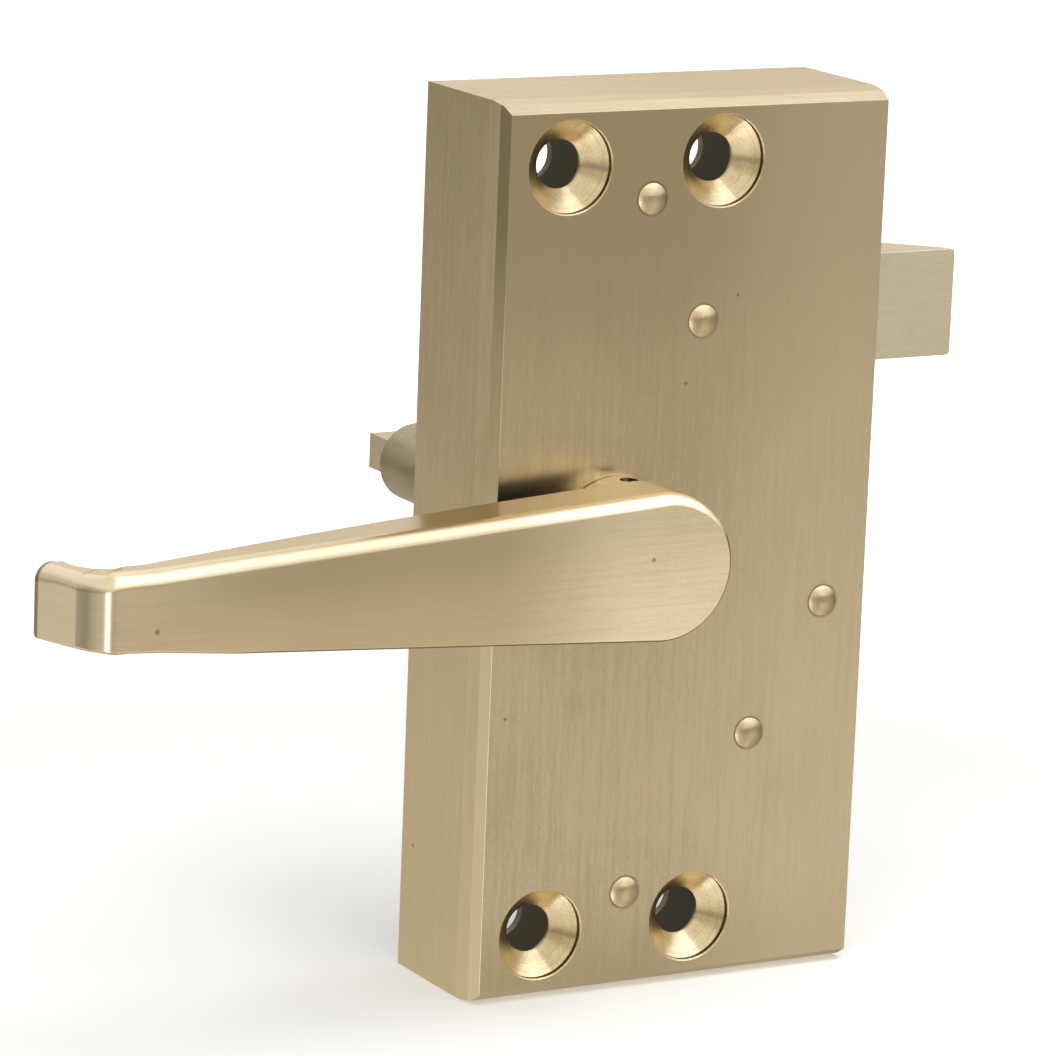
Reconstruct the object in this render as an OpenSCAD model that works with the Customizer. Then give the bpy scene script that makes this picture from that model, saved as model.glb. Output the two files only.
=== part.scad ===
// Surface latch: lever handle, sprung bolt with a sloped nose, spindle through the door.
// Origin on the spindle's axis at the door side of the case. X towards the bolt's nose,
// Y into the door, Z up. Millimetres.

/* [Case] */
// Width of the case
case_w = 73.4; // [72:0.1:80]
// Height of the case
case_h = 152.4; // [137:0.1:168]
// Depth of the case, front face to door
case_d = 27; // [26:0.1:32]
// Thickness of the front wall
front_wall = 4.8; // [4.6:0.1:6]
// Thickness of the side, top and bottom walls
side_wall = 3.4; // [2.8:0.1:3.8]
// Depth of the flats ground on the plain side's front edge
side_flat_depth = 6.2; // [3:0.1:8]
// Width of those flats on the front face
side_flat_width = 1.1; // [0.5:0.1:2]
// Depth of the flats ground on the top and bottom front edges
end_flat_depth = 4.8; // [2:0.1:6]
// Height of those flats on the front face
end_flat_height = 1.9; // [1:0.1:2.6]
// Distance from the case's plain side to the spindle's axis
spindle_from_side = 23.6; // [23.4:0.1:25]
// Distance from the case's top to the spindle's axis
spindle_from_top = 74.9; // [72:0.1:80]

/* [Screw holes] */
// Radius of the screw holes through the front wall
screw_r = 4.05; // [3.6:0.05:4.2]
// Radius of the countersinks at the front face
sink_r = 7.7; // [7:0.1:8]
// Depth of the straight lip above each countersink
sink_lip = 1; // [0.6:0.1:1.2]
// Depth at which each countersink ends
sink_depth = 4.4; // [4:0.1:4.5]
// Distance from the case's plain side to the first column of holes
screw_from_side = 12.45; // [12.35:0.05:13.4]
// Distance between the two columns of holes
screw_pitch = 29.1; // [28.5:0.1:30]
// Distance from the bottom of the case to the lower holes
screw_from_bottom = 11.3; // [10.8:0.1:12]
// Distance from the top of the case to the upper holes
screw_from_top = 10.9; // [10.8:0.1:12]
// Extra radius of the holes in the works plate
plate_hole_gap = 0.2; // [0:0.05:0.3]

/* [Works plate and posts] */
// Depth of the space for the works, front wall to plate
works_depth = 9.2; // [9.2:0.1:11]
// Thickness of the works plate
plate_t = 1.6; // [1.2:0.1:2]
// Gap around the works plate
plate_gap = 0.3; // [0.2:0.05:0.4]
// Radius of a post between the front wall and the plate
post_r = 3.2; // [3:0.1:3.3]
// Radius of a post's end in the front wall
post_end_r = 2.7; // [2.2:0.1:2.8]
// Height that a post's end is left proud of the front face
post_proud = 0.35; // [0.2:0.05:0.5]
// Radius of a post's tenon through the plate
tenon_r = 2; // [1.6:0.1:2.4]
// Radius of a post's riveted head behind the plate
rivet_head_r = 3; // [2.7:0.1:3.4]
// Thickness of a post's riveted head
rivet_head_t = 0.7; // [0.5:0.1:1]
// Distance from the top of the case to the upper plate post
top_post_drop = 16.7; // [16:0.1:18]
// Distance from the bottom of the case to the lower plate post
low_post_rise = 17; // [16:0.1:18]

/* [Bolt] */
// Height of the bolt's middle above the spindle
bolt_rise = 36.7; // [36.2:0.1:37.2]
// Height of the bolt's head
bolt_h = 18.5; // [17.5:0.1:19]
// Distance that the bolt's nose stands out of the case
bolt_out = 18.3; // [18.3:0.1:20]
// Travel of the bolt when the lever is turned
bolt_throw = 18; // [16:0.1:18]
// Length of the slope on the bolt's nose
nose_len = 8.6; // [7:0.1:10]
// Thickness left at the end of the nose
nose_t = 0.8; // [0.6:0.1:1.5]
// Corner radius of the nose seen from the front
nose_corner = 0.8; // [0.3:0.1:1.5]
// Length of the head that stays inside the case
head_in = 7; // [6.5:0.1:8]
// Distance from the spindle to the guide post along the bolt
guide_x = 15.3; // [15:0.1:16]
// Height of the tail's middle above the spindle
tail_rise = 37.2; // [36.8:0.1:37.6]
// Height of the bolt's tail
tail_h = 14; // [13.6:0.1:14.2]
// Thickness of the bolt's tail
tail_t = 5; // [4.8:0.1:5.2]
// Width of the tail's lug
lug_w = 4.5; // [4:0.1:5]
// Radius of the rod that guides the bolt's spring
rod_r = 1.3; // [1.2:0.05:1.4]
// Radius of the rivets that hold the tail to the head
tail_rivet_r = 1.6; // [1.3:0.1:1.7]

/* [Hub and spindle] */
// Width across the flats of the square spindle
spindle_sq = 6.25; // [6:0.05:6.4]
// Radius of the hub's body
hub_r = 9; // [8.6:0.1:9.4]
// Radius of the hub's journal
journal_r = 7.5; // [7:0.1:7.8]
// Radius at which the cam pin turns
cam_arm = 27; // [26.8:0.1:27.1]
// Radius of the cam pin
cam_pin_r = 2.8; // [2.5:0.1:2.9]
// Thickness of the hub's arms
arm_t = 2.6; // [2.4:0.1:2.8]
// Radius at which the stop pins stand
stop_at = 12.5; // [12.2:0.1:13]
// Radius of the stop pins
stop_r = 1.5; // [1.2:0.1:1.6]
// Half width of the hub's stop ear
ear_half = 3; // [2.5:0.1:3.2]
// Radius of the round sleeve through the door
sleeve_r = 6.95; // [6.5:0.05:7.2]
// Length of the sleeve beyond the case, the door's thickness
sleeve_len = 44.5; // [35:0.5:57]
// Length of the square tongue beyond the sleeve
tongue_len = 11.9; // [10:0.1:16]
// Radius of the sleeve's cross pin
cross_pin_r = 1.2; // [1:0.1:1.5]
// Distance from the sleeve's end in the case to its cross pin
cross_pin_in = 7.4; // [5:0.1:12]

/* [Springs] */
// Radius of the return spring's wire
return_wire = 0.6; // [0.5:0.05:0.65]
// Radius of the return spring's coil at the wire's middle
return_coil = 9.4; // [9.2:0.1:9.6]
// Radius of the bolt spring's wire
bolt_wire = 0.35; // [0.3:0.05:0.4]
// Radius of the bolt spring's coil at the wire's middle
bolt_coil = 2.25; // [2.1:0.05:2.3]
// Radius of the anchor that holds the return spring
anchor_r = 1.8; // [1.6:0.1:2]

/* [Lever] */
// Distance from the case to the lever's front face
lever_out = 17.8; // [17:0.1:20]
// Thickness of the lever at the spindle
bar_t = 11.8; // [11:0.1:12.4]
// Thickness of the bar where it turns back
bar_end_t = 5.7; // [5.2:0.1:7]
// Radius of the lever's rounded end on the spindle
lever_r = 12.4; // [11.9:0.1:13]
// Radius of the collar behind the lever
collar_r = 12.1; // [11.8:0.1:12.8]
// Distance from the spindle to the outer edge of the lever's free end
lever_reach = 106.3; // [95:0.1:115]
// Half height of the bar where it turns back
bar_end_half = 6.3; // [5.8:0.1:7]
// Half height of the returned tip
tip_half = 5.9; // [5.2:0.1:6.4]
// Distance that the tip returns towards the door
return_len = 16.5; // [14:0.1:18]
// Thickness of the returned tip at its end
tip_t = 5.2; // [4.8:0.1:6]
// Outward lean of the returned tip in degrees
tip_lean = 12.3; // [8:0.1:15]
// Radius of the corner where the bar turns back
turn_r = 2.2; // [1.5:0.1:3]
// Radius of the easing between that corner and the tip's outer face
ease_r = 14; // [10:0.5:18]
// Radius of the hollow inside that corner
hollow_r = 8.5; // [7.5:0.1:9]
// Rounding along the lever's upper front edge
lever_round = 2.4; // [1.5:0.1:2.8]
// Rounding of the lever's other edges
edge_round = 0.5; // [0.3:0.05:0.8]
// Rounding across the end of the returned tip
tip_round = 1.6; // [1:0.1:2]
// Distance from the case to the set screw in the collar
set_screw_out = 4; // [3.6:0.1:4.4]
// Radius of the set screw
set_screw_r = 1.5; // [1.2:0.1:2]

/* [Hidden] */
$fn = 96;

fit = 0.02;            // press and rivet fit, radial
run = 0.05;            // running fit, radial
slack = 0.1;           // small gap between pieces that move on each other
side_gap = 0.2;        // gap beside the sliding bolt
past = 1;              // how far a cutter passes a face

x0 = -spindle_from_side;
x1 = x0 + case_w;
z1 = spindle_from_top;
z0 = z1 - case_h;
y_front = -case_d;
y_in = y_front + front_wall;
y_plate = y_in + works_depth;
y_rear = y_plate + plate_t;

screw_x = [x0 + screw_from_side, x0 + screw_from_side + screw_pitch];
screw_z = [z0 + screw_from_bottom, z1 - screw_from_top];
cavity_round = 3;      // corner radius of the hollow in the case
guide_post_at = [guide_x, tail_rise];
side_post_at = [x1 - 8.2, -12.8];
mid_post_at = [28.1, -34.8];
plate_post_at = [[4.5, z1 - top_post_drop], side_post_at, mid_post_at, [4.9, z0 + low_post_rise]];

lever_travel = 2 * asin(bolt_throw / 2 / cam_arm);
cam_lean = lever_travel / 2;
cam_at = [cam_arm * sin(cam_lean), cam_arm * cos(cam_lean)];

bolt_y0 = y_in + slack;
bolt_y1 = y_plate - side_gap;
head_x0 = x1 - head_in;
nose_x = x1 + bolt_out;
tail_y1 = bolt_y1 - side_gap;
tail_y0 = tail_y1 - tail_t;
tail_mid_y = (tail_y0 + tail_y1) / 2;
tail_lap = 9.5;        // length of the lap of tail and head
window_h = 2 * post_r + 2 * slack;
window_x0 = guide_x - post_r - 0.15;
lug_x1 = cam_at[0] - cam_pin_r - slack;
lug_x0 = lug_x1 - lug_w;
lug_drop = 1.5;        // how far the lug reaches below the cam pin's middle
rivet_rise = 3.6;      // height of the tail's rivets above and below its middle

washer_t = 0.8;
hub_y0 = y_in + washer_t + slack;
hub_y1 = y_plate - side_gap;
arm_y1 = hub_y0 + arm_t;
bush_wall = 2;
bush_flange_t = 1.2;
bush_flange_r = journal_r + run + bush_wall + 1.5;
coil_pitch = 2 * return_wire + 0.06;
coil_turns = 3.4;
coil_y0 = y_rear + bush_flange_t + return_wire + 0.2;
coil_y1 = coil_y0 + coil_turns * coil_pitch;
collar_t = 1.8;
spring_collar_y0 = coil_y1 + return_wire + 0.2;
spring_collar_y1 = spring_collar_y0 + collar_t;
sleeve_y0 = spring_collar_y1 + slack;
coil_start = 200;      // angle of the fixed leg round the spindle
coil_end = coil_start + 360 * coil_turns;
fixed_leg = 12;
drive_leg = 5;
drive_pin_r = 1.2;
anchor_neck_r = 1.3;
anchor_polar = [return_coil + return_wire + anchor_r + slack, -fixed_leg + 1];
drive_polar = [return_coil + return_wire + drive_pin_r + slack, drive_leg - 1];

lever_front = y_front - lever_out;
lever_back = lever_front + bar_t;
bush_r = lever_r - 1.7;
neck_r = bush_r - 1.6;
collar_gap = 0.1;      // gap between the lever's collar and the case
stop_ear = -110;       // angle of the hub's stop ear at rest
stop_turn = asin((ear_half + stop_r + slack) / stop_at);

// Point at a radius and a tangential distance, at an angle round the spindle
function polar_at(p, a) = [p[0] * cos(a) - p[1] * sin(a), p[0] * sin(a) + p[1] * cos(a)];

// Sweeps a flat X-Z shape from one depth to another
module slab(ya, yb) {
    translate([0, yb, 0]) rotate([90, 0, 0]) linear_extrude(yb - ya) children();
}

// Turns a profile of radius and depth round a line along Y
module turned(at, profile) {
    translate([at[0], 0, at[1]]) rotate([-90, 0, 0]) rotate_extrude() polygon(profile);
}

// Plain round bar along Y
module bar(at, r, ya, yb) {
    turned(at, [[0, ya], [r, ya], [r, yb], [0, yb]]);
}

// Rectangle with round corners, by its corners and radius
module soft_rect(a, b, r) {
    translate([a[0] + r, a[1]]) square([b[0] - a[0] - 2 * r, b[1] - a[1]]);
    translate([a[0], a[1] + r]) square([b[0] - a[0], b[1] - a[1] - 2 * r]);
    for (x = [a[0] + r, b[0] - r], z = [a[1] + r, b[1] - r]) translate([x, z]) circle(r);
}

// Square hole for the spindle
module spindle_hole(ya, yb) {
    s = spindle_sq / 2 + run;
    slab(ya, yb) translate([-s, -s]) square(2 * s);
}

// Flat link between two round ends, straight sides touching both
module link(at, r_a, r_b) {
    len = norm(at);
    turn = atan2(at[1], at[0]);
    a = acos((r_a - r_b) / len);
    circle(r_a);
    translate(at) circle(r_b);
    rotate(turn) polygon([r_a * [cos(a), sin(a)], [len, 0] + r_b * [cos(a), sin(a)],
        [len, 0] + r_b * [cos(a), -sin(a)], r_a * [cos(a), -sin(a)]]);
}

// Two flats ground along a front edge, as points away from the sharp corner: depth, then width
function edge_flats(depth, width) = [[depth, 0], [0.4 * depth, 0.3 * width], [0, width]];

// Outer block of the case: two crossed outlines, each with its front edges ground to two flats
module case_block() {
    side = edge_flats(side_flat_depth, side_flat_width);
    end = edge_flats(end_flat_depth, end_flat_height);
    intersection() {
        translate([0, 0, z0]) linear_extrude(case_h) polygon(concat([[x0, 0]],
            [for (p = side) [x0 + p[1], y_front + p[0]]], [[x1, y_front], [x1, 0]]));
        translate([x0, 0, 0]) rotate([90, 0, 90]) linear_extrude(case_w) polygon(concat([[0, z0]],
            [for (p = end) [y_front + p[0], z0 + p[1]]],
            [for (k = [2:-1:0]) [y_front + end[k][0], z1 - end[k][1]]], [[0, z1]]));
    }
}

module screw_cutter(at) {
    edge = 0.2;
    turned(at, [[0, y_front - past], [sink_r + edge + past, y_front - past], [sink_r, y_front + edge],
        [sink_r, y_front + sink_lip], [screw_r, y_front + sink_depth], [screw_r, y_in + past],
        [0, y_in + past]]);
}

// Ribs cast inside the case above and below the bolt's head
module bolt_ribs() {
    rib = 3;
    for (z = [bolt_rise - bolt_h / 2 - side_gap - rib, bolt_rise + bolt_h / 2 + side_gap])
        translate([head_x0 - 5, y_in - fit, z])
            cube([x1 - side_wall - head_x0 + 5 + fit, works_depth - plate_gap, rib]);
}

module case() {
    color("darkkhaki") difference() {
        union() {
            difference() {
                case_block();
                slab(y_in, past) soft_rect([x0 + side_wall, z0 + side_wall],
                    [x1 - side_wall, z1 - side_wall], cavity_round);
            }
            bolt_ribs();
        }
        for (x = screw_x, z = screw_z) screw_cutter([x, z]);
        for (p = plate_post_at) bar(p, post_end_r + fit, y_front - past, y_in + past);
        bar(guide_post_at, post_end_r + fit, y_front - past, y_in + past);
        bar([0, 0], bush_r + fit, y_front - past, y_in + past);
        translate([x1 - side_wall - past, y_in, bolt_rise - bolt_h / 2 - side_gap])
            cube([side_wall + 2 * past, works_depth, bolt_h + 2 * side_gap]);
    }
}

module works_plate() {
    g = side_wall + plate_gap;
    color("darkgray") difference() {
        slab(y_plate, y_rear) soft_rect([x0 + g, z0 + g], [x1 - g, z1 - g], cavity_round);
        for (x = screw_x, z = screw_z)
            bar([x, z], screw_r + plate_hole_gap, y_plate - past, y_rear + past);
        for (p = plate_post_at) bar(p, tenon_r + fit, y_plate - past, y_rear + past);
        bar(guide_post_at, tenon_r + fit, y_plate - past, y_rear + past);
        bar([0, 0], journal_r + run + bush_wall + fit, y_plate - past, y_rear + past);
        for (a = stop_angles())
            bar(stop_at * [cos(a), sin(a)], stop_r + fit, y_plate - past, y_rear + past);
        bar(polar_at(anchor_polar, coil_start), anchor_neck_r + fit, y_plate - past, y_rear + past);
    }
}

// Shouldered post, its front end riveted over to a low dome, its tenon riveted behind the plate
module post(at) {
    bevel = 0.5;
    dome_r = (post_end_r * post_end_r + post_proud * post_proud) / (2 * post_proud);
    dome_a = asin(post_end_r / dome_r);
    turned(at, concat([for (k = [0:6]) let (a = dome_a * k / 6)
            [dome_r * sin(a), y_front - post_proud + dome_r * (1 - cos(a))]],
        [[post_end_r, y_in], [post_r, y_in], [post_r, y_plate], [tenon_r, y_plate],
        [tenon_r, y_rear], [rivet_head_r, y_rear], [rivet_head_r - bevel, y_rear + rivet_head_t],
        [0, y_rear + rivet_head_t]]));
}

module plate_posts() {
    color("khaki") for (p = plate_post_at) post(p);
}

module guide_post() {
    color("khaki") difference() {
        post(guide_post_at);
        translate([guide_x - post_r - past, tail_mid_y, tail_rise]) rotate([0, 90, 0])
            cylinder(h = 2 * (post_r + past), r = rod_r + run);
    }
}

module front_bush() {
    color("goldenrod") turned([0, 0], [[neck_r + run, y_front], [bush_r, y_front],
        [bush_r, y_in], [neck_r + run, y_in]]);
}

module plate_bush() {
    r = journal_r + run;
    color("goldenrod") turned([0, 0], [[r, y_plate], [r + bush_wall, y_plate],
        [r + bush_wall, y_rear], [bush_flange_r, y_rear], [bush_flange_r, y_rear + bush_flange_t],
        [r, y_rear + bush_flange_t]]);
}

function stop_angles() = [stop_ear - stop_turn, stop_ear + lever_travel + stop_turn];

module stop_pins() {
    color("lightgray") for (a = stop_angles())
        bar(stop_at * [cos(a), sin(a)], stop_r, hub_y0, y_rear);
}

// Shouldered pin behind the works plate, holding the spring's fixed leg
module spring_anchor() {
    tip = 0.5;
    top = coil_y0 + 2 * return_wire;
    color("lightgray") turned(polar_at(anchor_polar, coil_start), [[0, y_plate], [anchor_neck_r, y_plate],
        [anchor_neck_r, y_rear], [anchor_r, y_rear], [anchor_r, top], [anchor_r - tip, top + tip],
        [0, top + tip]]);
}

// Bolt head: slope on the door side, lap cut for the tail
module latch_bolt() {
    zb = bolt_rise - bolt_h / 2;
    color("tan") difference() {
        intersection() {
            translate([0, 0, zb]) linear_extrude(bolt_h) polygon([[head_x0, bolt_y0],
                [nose_x, bolt_y0], [nose_x, bolt_y0 + nose_t], [nose_x - nose_len, bolt_y1],
                [head_x0, bolt_y1]]);
            slab(bolt_y0 - past, bolt_y1 + past)
                soft_rect([head_x0 - 2 * nose_corner, zb], [nose_x, zb + bolt_h], nose_corner);
        }
        translate([head_x0 - past, tail_y0 - fit, tail_rise - tail_h / 2 - fit])
            cube([tail_lap + past + fit, bolt_y1 - tail_y0 + past, tail_h + 2 * fit]);
        tail_rivet_bars(tail_rivet_r + fit, bolt_y0 - past, bolt_y1);
    }
}

module tail_rivet_bars(r, ya, yb) {
    for (s = [-1, 1]) bar([head_x0 + tail_lap / 2, tail_rise + s * rivet_rise], r, ya, yb);
}

module tail_rivets() {
    color("khaki") tail_rivet_bars(tail_rivet_r, bolt_y0, tail_y1);
}

// Tail with a window for the guide post and spring, and the lug that the cam pin pushes
module bolt_tail() {
    zt = tail_rise - tail_h / 2;
    color("silver") difference() {
        slab(tail_y0, tail_y1) difference() {
            union() {
                translate([lug_x0, zt]) square([head_x0 + tail_lap - lug_x0, tail_h]);
                translate([lug_x0, cam_at[1] - lug_drop]) square([lug_w, zt - cam_at[1] + lug_drop + past]);
            }
            translate([window_x0, tail_rise - window_h / 2]) square([head_x0 - window_x0, window_h]);
        }
        rod_bar(rod_r + fit, lug_x0 - past);
        tail_rivet_bars(tail_rivet_r + fit, tail_y0 - past, tail_y1 + past);
    }
}

// Bar along the spring's line, from a given end into the lap
module rod_bar(r, xa) {
    translate([xa, tail_mid_y, tail_rise]) rotate([0, 90, 0])
        cylinder(h = head_x0 + tail_lap / 2 - tail_rivet_r - xa, r = r);
}

module spring_rod() {
    color("lightgray") rod_bar(rod_r, lug_x0 + slack);
}

// Wire along a list of stations. Each station is a centre, with two directions across the wire.
module wire(stations, r, sides) {
    n = len(stations);
    points = [for (s = stations, k = [0:sides - 1])
        s[0] + r * (cos(360 * k / sides) * s[1] + sin(360 * k / sides) * s[2])];
    skin = [for (i = [0:n - 2], k = [0:sides - 1])
        [i * sides + k, i * sides + (k + 1) % sides, (i + 1) * sides + (k + 1) % sides, (i + 1) * sides + k]];
    ends = [[for (k = [sides - 1:-1:0]) k], [for (k = [0:sides - 1]) (n - 1) * sides + k]];
    polyhedron(points, concat(skin, ends));
}

module bolt_spring() {
    turns = 7.5;
    per_turn = 16;
    xa = guide_x + post_r + bolt_wire;
    xb = head_x0 - bolt_wire - slack;
    // closed coil at each end, open coils between
    ease = function(t) t < 1 ? 2 * bolt_wire * t :
        t > turns - 1 ? xb - xa - 2 * bolt_wire * (turns - t) :
        2 * bolt_wire + (xb - xa - 4 * bolt_wire) * (t - 1) / (turns - 2);
    stations = [for (i = [0:turns * per_turn]) let (a = 360 * i / per_turn, d = [0, cos(a), sin(a)])
        [[xa + ease(i / per_turn), tail_mid_y, tail_rise] + bolt_coil * d, d, [-1, 0, 0]]];
    color("dimgray") wire(stations, bolt_wire, 8);
}

module thrust_washer() {
    color("goldenrod") turned([0, 0], [[spindle_sq / sqrt(2) + run, y_in + run], [hub_r + 1.5, y_in + run],
        [hub_r + 1.5, y_in + run + washer_t], [spindle_sq / sqrt(2) + run, y_in + run + washer_t]]);
}

// Hub: body and journal on the spindle, arm to the cam pin, ear between the stop pins
module hub() {
    ear_len = stop_at + stop_r + 1;
    color("silver") difference() {
        union() {
            turned([0, 0], [[0, hub_y0], [hub_r, hub_y0], [hub_r, hub_y1], [journal_r, hub_y1],
                [journal_r, spring_collar_y0 - slack], [0, spring_collar_y0 - slack]]);
            slab(hub_y0, arm_y1) {
                link(cam_at, hub_r - 1, cam_pin_r + 1.4);
                rotate(stop_ear) translate([0, -ear_half]) square([ear_len, 2 * ear_half]);
            }
        }
        spindle_hole(hub_y0 - past, spring_collar_y0 + past);
        bar(cam_at, cam_pin_r - 1 + fit, hub_y0 - past, arm_y1 + past);
    }
}

module cam_pin() {
    neck = cam_pin_r - 1;
    color("lightgray") turned(cam_at, [[0, hub_y0], [neck, hub_y0], [neck, arm_y1],
        [cam_pin_r, arm_y1], [cam_pin_r, tail_y1], [0, tail_y1]]);
}

// Collar on the spindle that turns the spring's free leg
module spring_collar() {
    r = norm(drive_polar) + drive_pin_r + 0.8;
    color("silver") difference() {
        bar([0, 0], r, spring_collar_y0, spring_collar_y1);
        spindle_hole(spring_collar_y0 - past, spring_collar_y1 + past);
        bar(polar_at(drive_polar, coil_end), drive_pin_r + fit,
            spring_collar_y0 - past, spring_collar_y1 + past);
    }
}

module drive_pin() {
    color("lightgray")
        bar(polar_at(drive_polar, coil_end), drive_pin_r, coil_y1 - 2 * return_wire, spring_collar_y1);
}

// Torsion spring round the hub's journal, a straight leg at each end
module return_spring() {
    per_turn = 24;
    steps = floor(coil_turns * per_turn);
    leg = function(a, s, y) let (p = polar_at([return_coil, s], a), d = [cos(a), 0, sin(a)])
        [[p[0], y, p[1]], d, [0, 1, 0]];
    coil = [for (i = [0:steps]) leg(coil_start + (coil_end - coil_start) * i / steps, 0,
        coil_y0 + (coil_y1 - coil_y0) * i / steps)];
    color("dimgray") wire(concat([leg(coil_start, -fixed_leg, coil_y0)], coil,
        [leg(coil_end, drive_leg, coil_y1)]), return_wire, 8);
}

// Square bar from the lever's socket to the tongue beyond the door
module spindle() {
    s = spindle_sq / 2;
    tip = 0.8;
    y_a = lever_front + 5.4;
    y_b = sleeve_len + tongue_len;
    color("tan") difference() {
        slab(y_a, y_b) translate([-s, -s]) square(2 * s);
        for (q = [0:3]) rotate([0, 90 * q, 0]) translate([s, y_b, 0]) rotate([0, 0, 45])
            cube([2 * tip, 2 * tip, 4 * s], center = true);
        cross_bar(cross_pin_r + fit, sleeve_r + past);
    }
}

// Bar across the sleeve, of a given radius and half length
module cross_bar(r, half) {
    translate([0, sleeve_y0 + cross_pin_in, -half]) cylinder(h = 2 * half, r = r);
}

module spindle_sleeve() {
    c = 0.6;
    color("tan") difference() {
        turned([0, 0], [[0, sleeve_y0], [sleeve_r, sleeve_y0], [sleeve_r, sleeve_len - c],
            [sleeve_r - c, sleeve_len], [0, sleeve_len]]);
        spindle_hole(sleeve_y0 - past, sleeve_len + past);
        cross_bar(cross_pin_r + fit, sleeve_r + past);
    }
}

module sleeve_pin() {
    color("lightgray") cross_bar(cross_pin_r, sleeve_r - slack);
}

// One cross section of the lever: outer and inner point in plan, half height, upper front
// rounding, and how far the outer side and the top are drawn in at the tip's end
function lever_section(o, i, h, f, e) = let (
    across = (i - o) / norm(i - o),
    t = norm(i - o),
    b = edge_round,
    flat = concat(
        [for (a = [0:10:90]) [e + f - f * cos(a), h - e - f + f * sin(a)]],
        [for (a = [0:30:90]) [t - b + b * sin(a), h - e - b + b * cos(a)]],
        [for (a = [0:30:90]) [t - b + b * cos(a), b - h - b * sin(a)]],
        [for (a = [0:30:90]) [e + b - b * sin(a), b - h - b * cos(a)]]))
    [for (p = flat) let (g = o + across * p[0]) [g[0], g[1], p[1]]];

// Points of an arc in plan, by its middle, radius and two headings measured from the front
function plan_arc(c, r, a, b, steps) = [for (k = [0:steps]) let (g = a + (b - a) * k / steps)
    c - r * [sin(g), cos(g)]];

// Bar from the spindle to the corner, round the corner and back to the tip
module lever_bar() {
    lean = [-sin(tip_lean), cos(tip_lean)];
    side = [cos(tip_lean), sin(tip_lean)];
    tip_o = [-lever_reach, lever_front + return_len];
    tip_i = tip_o + [tip_t, 0];
    // outer side: a tight arc, then an easing arc that touches the tip's outer face
    tight = 60;
    ease_y = lever_front + turn_r + (ease_r - turn_r) * cos(tight);
    ease_s = (ease_y - tip_o[1] - ease_r * side[1]) / lean[1];
    ease_c = tip_o + ease_s * lean + ease_r * side;
    turn_c = ease_c - (ease_r - turn_r) * [sin(tight), cos(tight)];
    // back: a long arc from the spindle, then the hollow that touches the tip's inner side
    thin_at = lever_reach - 14;
    drop = bar_t - bar_end_t;
    long_r = (thin_at * thin_at + drop * drop) / (2 * drop);
    long_c = [0, lever_back - long_r];
    hollow_x = tip_i[0] + hollow_r;
    hollow_c = [hollow_x, long_c[1] + sqrt(pow(long_r + hollow_r, 2) - hollow_x * hollow_x)];
    long_end = asin(-hollow_x / (long_r + hollow_r));
    // sides of the bar touch the round end at the spindle
    slope = asin(lever_r / norm([turn_c[0], bar_end_half])) - atan(bar_end_half / -turn_c[0]);
    start = asin(lever_r * sin(slope) / long_r);
    tuck = 0.03;           // the bar's sides start this far inside the round end
    bar_steps = 10;
    turn_steps = 10;
    back = [for (k = [0:bar_steps]) let (g = start + (long_end - start) * k / bar_steps)
        long_c + long_r * [-sin(g), cos(g)]];
    bar_x = back[bar_steps][0];
    run_in = [for (k = [1:3]) [bar_x + (turn_c[0] - bar_x) * k / 3, lever_front]];
    tight_arc = plan_arc(turn_c, turn_r, 0, tight, 4);
    ease_arc = plan_arc(ease_c, ease_r, tight, 90 - tip_lean, 3);
    outer = concat([for (p = back) [p[0], lever_front]], run_in,
        [for (k = [1:4]) tight_arc[k]], [for (k = [1:3]) ease_arc[k]]);
    inner = concat(back, [for (k = [1:turn_steps])
        plan_arc(hollow_c, hollow_r, -long_end, 90, turn_steps)[k]]);
    at_turn = len(outer) - turn_steps;
    half = [for (k = [0:len(outer) - 1]) k < at_turn + 3 ?
        (lever_r - tuck) / cos(slope) + outer[k][0] * tan(slope) :
        bar_end_half + (tip_half - bar_end_half) * (k - at_turn - 2) / (turn_steps - 2)];
    // upper front rounding grows along the first third of the bar
    grow = [for (k = [0:len(outer) - 1]) edge_round + (lever_round - edge_round) * sin(min(90, 30 * k))];
    caps = [for (a = [0:30:90]) [tip_round * (1 - sin(a)), tip_round * (1 - cos(a))]];
    rings = concat([for (k = [0:len(outer) - 1]) lever_section(outer[k], inner[k], half[k], grow[k], 0)],
        [for (c = caps) lever_section(tip_o - c[0] * lean, tip_i - [0, c[0]], tip_half, lever_round, c[1])]);
    m = len(rings[0]);
    skin = [for (i = [0:len(rings) - 2], k = [0:m - 1])
        [i * m + k, (i + 1) * m + k, (i + 1) * m + (k + 1) % m, i * m + (k + 1) % m]];
    ends = [[for (k = [0:m - 1]) k], [for (k = [m - 1:-1:0]) (len(rings) - 1) * m + k]];
    polyhedron([for (r = rings, p = r) p], concat(skin, ends));
}

module lever() {
    b = edge_round;
    y_neck = y_in - 0.1;
    color("darkkhaki") difference() {
        union() {
            lever_bar();
            turned([0, 0], concat([[0, lever_front]],
                [for (a = [90:-30:0]) [lever_r - b + b * cos(a), lever_front + b - b * sin(a)]],
                [for (a = [0:30:90]) [lever_r - b + b * cos(a), lever_back - b + b * sin(a)]],
                [[0, lever_back]]));
            turned([0, 0], [[0, lever_back - past], [collar_r, lever_back - past],
                [collar_r, y_front - collar_gap], [neck_r, y_front - collar_gap],
                [neck_r, y_neck], [0, y_neck]]);
        }
        spindle_hole(lever_front + 5, y_neck + past);
        translate([0, y_front - set_screw_out, 0]) cylinder(h = collar_r + past, r = set_screw_r + fit);
    }
}

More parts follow.
